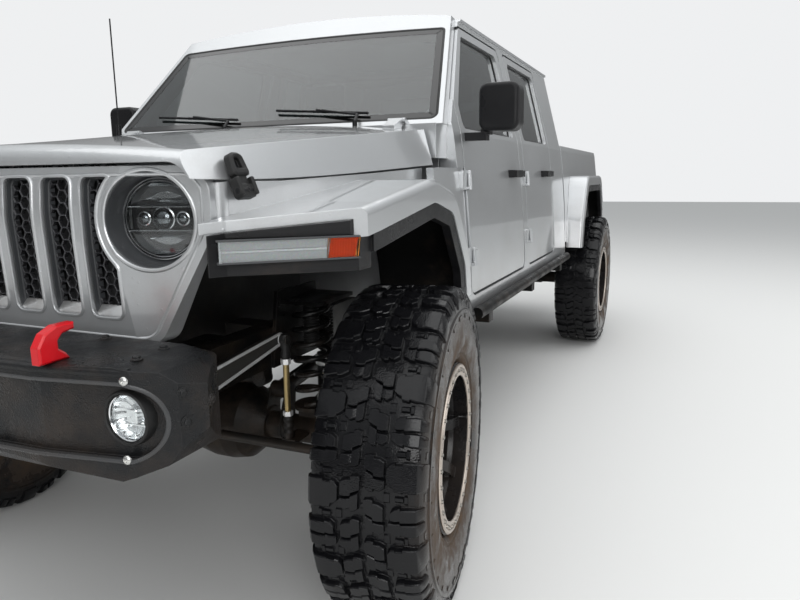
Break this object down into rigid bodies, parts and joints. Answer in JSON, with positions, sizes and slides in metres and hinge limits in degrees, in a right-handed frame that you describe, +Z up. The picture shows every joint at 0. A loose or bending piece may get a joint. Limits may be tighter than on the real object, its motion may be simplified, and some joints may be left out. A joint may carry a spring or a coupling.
{
  "type": "off-road pickup",
  "caption": "Lifted four-door off-road pickup with solid axles, beadlock wheels, slotted grille, flared fenders, hinged doors, hood and tailgate.",
  "frame": {"origin": "on the ground under the middle of the vehicle, halfway between the tips of its bumpers", "axes": "+X forward, +Y to the vehicle's left, +Z up"},
  "size_m": [5.54, 2.1468, 1.926],
  "materials": {
    "silver_paint": "metallic gloss, wet",
    "black_plastic": "textured",
    "black_rubber": "matte",
    "tyre_rubber": "matte",
    "wheel_metal": "satin black",
    "chassis_black": "satin",
    "forged_steel": "raw",
    "plated_steel": "zinc plated",
    "shock_paint": "gloss",
    "exhaust_steel": "dull",
    "red_paint": "gloss",
    "clear_glass": "clear",
    "front_lamp": "clear lens",
    "tail_lamp": "red lens",
    "cabin_plastic": "grained",
    "seat_fabric": "woven"
  },
  "bodies": {
    "chassis": {"frame": "chassis_black", "front_axle": "chassis_black", "rear_axle": "chassis_black", "suspension_arms": "chassis_black", "springs": "chassis_black", "shocks": "shock_paint", "sway_bar": "forged_steel", "steering_box": "chassis_black", "drivetrain": "forged_steel", "exhaust": "exhaust_steel", "fuel_tank": "chassis_black", "cab": "silver_paint", "windshield_frame": "silver_paint", "fixed_glass": "clear_glass", "roof": "silver_paint", "fenders": "silver_paint", "grille": "silver_paint", "radiator": "chassis_black", "head_lamps": "front_lamp", "fender_liners": "black_plastic", "front_lamps": "front_lamp", "front_bumper": "black_plastic", "tow_hooks": "red_paint", "bed": "silver_paint", "tail_lamps": "tail_lamp", "rear_flares": "silver_paint", "rear_flare_lips": "black_plastic", "rear_bumper": "black_plastic", "side_rails": "chassis_black", "seats": "seat_fabric", "cabin_trim": "cabin_plastic", "cowl_fittings": "black_plastic"},
    "knuckle_left": {"knuckle_left": "forged_steel"},
    "knuckle_right": {"knuckle_right": "forged_steel"},
    "steering_links": {"steering_links": "plated_steel"},
    "pitman_arm": {"pitman_arm": "chassis_black"},
    "steering_wheel": {"steering_wheel": "cabin_plastic"},
    "hood": {"hood": "silver_paint", "hood_latches": "black_rubber"},
    "tailgate": {"tailgate": "silver_paint"},
    "wheel_front_left": {"tyre_front_left": "tyre_rubber", "wheel_front_left": "wheel_metal"},
    "wheel_front_right": {"tyre_front_right": "tyre_rubber", "wheel_front_right": "wheel_metal"},
    "wheel_rear_left": {"tyre_rear_left": "tyre_rubber", "wheel_rear_left": "wheel_metal"},
    "wheel_rear_right": {"tyre_rear_right": "tyre_rubber", "wheel_rear_right": "wheel_metal"},
    "door_front_left": {"door_front_left": "silver_paint", "glass_front_left": "clear_glass", "fittings_front_left": "black_plastic"},
    "door_front_right": {"door_front_right": "silver_paint", "glass_front_right": "clear_glass", "fittings_front_right": "black_plastic"},
    "door_rear_left": {"door_rear_left": "silver_paint", "glass_rear_left": "clear_glass", "fittings_rear_left": "black_plastic"},
    "door_rear_right": {"door_rear_right": "silver_paint", "glass_rear_right": "clear_glass", "fittings_rear_right": "black_plastic"}
  },
  "joints": [
    {"name": "steer_left", "type": "hinge", "parent": "chassis", "child": "knuckle_left", "pos_m": [1.91, 0.735, 0.467], "axis": [0, 0, 1], "range_deg": [-36, 20]},
    {"name": "steer_right", "type": "hinge", "parent": "chassis", "child": "knuckle_right", "pos_m": [1.91, -0.735, 0.467], "axis": [0, 0, 1], "range_deg": [-36, 20]},
    {"name": "tie_rod_left_ball", "type": "hinge", "parent": "knuckle_left", "child": "steering_links", "pos_m": [2.08825, 0.76005, 0.4877], "axis": [0, 0, 1], "range_deg": [-20, 36]},
    {"name": "pitman_turn", "type": "hinge", "parent": "chassis", "child": "pitman_arm", "pos_m": [2.142, 0.338, 0.622], "axis": [0, 0, 1], "range_deg": [-36, 20]},
    {"name": "steering_wheel_turn", "type": "hinge", "parent": "chassis", "child": "steering_wheel", "pos_m": [0.9, 0.38, 1.33], "axis": [-0.9063, 0, 0.4226], "range_deg": [-540, 300]},
    {"name": "roll_front_left", "type": "hinge", "parent": "knuckle_left", "child": "wheel_front_left", "pos_m": [1.89121, 0.86869, 0.467], "axis": [-0.1392, 0.9903, 0], "continuous": true},
    {"name": "roll_front_right", "type": "hinge", "parent": "knuckle_right", "child": "wheel_front_right", "pos_m": [1.92879, -0.86869, 0.467], "axis": [-0.1392, 0.9903, 0], "continuous": true},
    {"name": "roll_rear_left", "type": "hinge", "parent": "chassis", "child": "wheel_rear_left", "pos_m": [-1.577, 0.87, 0.467], "axis": [0, 1, 0], "continuous": true},
    {"name": "roll_rear_right", "type": "hinge", "parent": "chassis", "child": "wheel_rear_right", "pos_m": [-1.577, -0.87, 0.467], "axis": [0, 1, 0], "continuous": true},
    {"name": "door_front_left_swing", "type": "hinge", "parent": "chassis", "child": "door_front_left", "pos_m": [1.163, 0.82369, 1.1], "axis": [0, 0.0782, -0.9969], "range_deg": [0, 70]},
    {"name": "door_front_right_swing", "type": "hinge", "parent": "chassis", "child": "door_front_right", "pos_m": [1.163, -0.82369, 1.1], "axis": [0, 0.0782, 0.9969], "range_deg": [0, 70]},
    {"name": "door_rear_left_swing", "type": "hinge", "parent": "chassis", "child": "door_rear_left", "pos_m": [0.178, 0.82369, 1.1], "axis": [0, 0.0782, -0.9969], "range_deg": [0, 65]},
    {"name": "door_rear_right_swing", "type": "hinge", "parent": "chassis", "child": "door_rear_right", "pos_m": [0.178, -0.82369, 1.1], "axis": [0, 0.0782, 0.9969], "range_deg": [0, 65]},
    {"name": "hood_lift", "type": "hinge", "parent": "chassis", "child": "hood", "pos_m": [1.375, 0, 1.438], "axis": [0, -1, 0], "range_deg": [0, 60]},
    {"name": "tailgate_drop", "type": "hinge", "parent": "chassis", "child": "tailgate", "pos_m": [-2.574, 0, 0.966], "axis": [0, -1, 0], "range_deg": [0, 90]}
  ],
  "couplings": [
    {"joint": "steer_right", "follows": "steer_left", "ratio": 1},
    {"joint": "tie_rod_left_ball", "follows": "steer_left", "ratio": -1},
    {"joint": "pitman_turn", "follows": "steer_left", "ratio": 1},
    {"joint": "steering_wheel_turn", "follows": "steer_left", "ratio": 15}
  ]
}
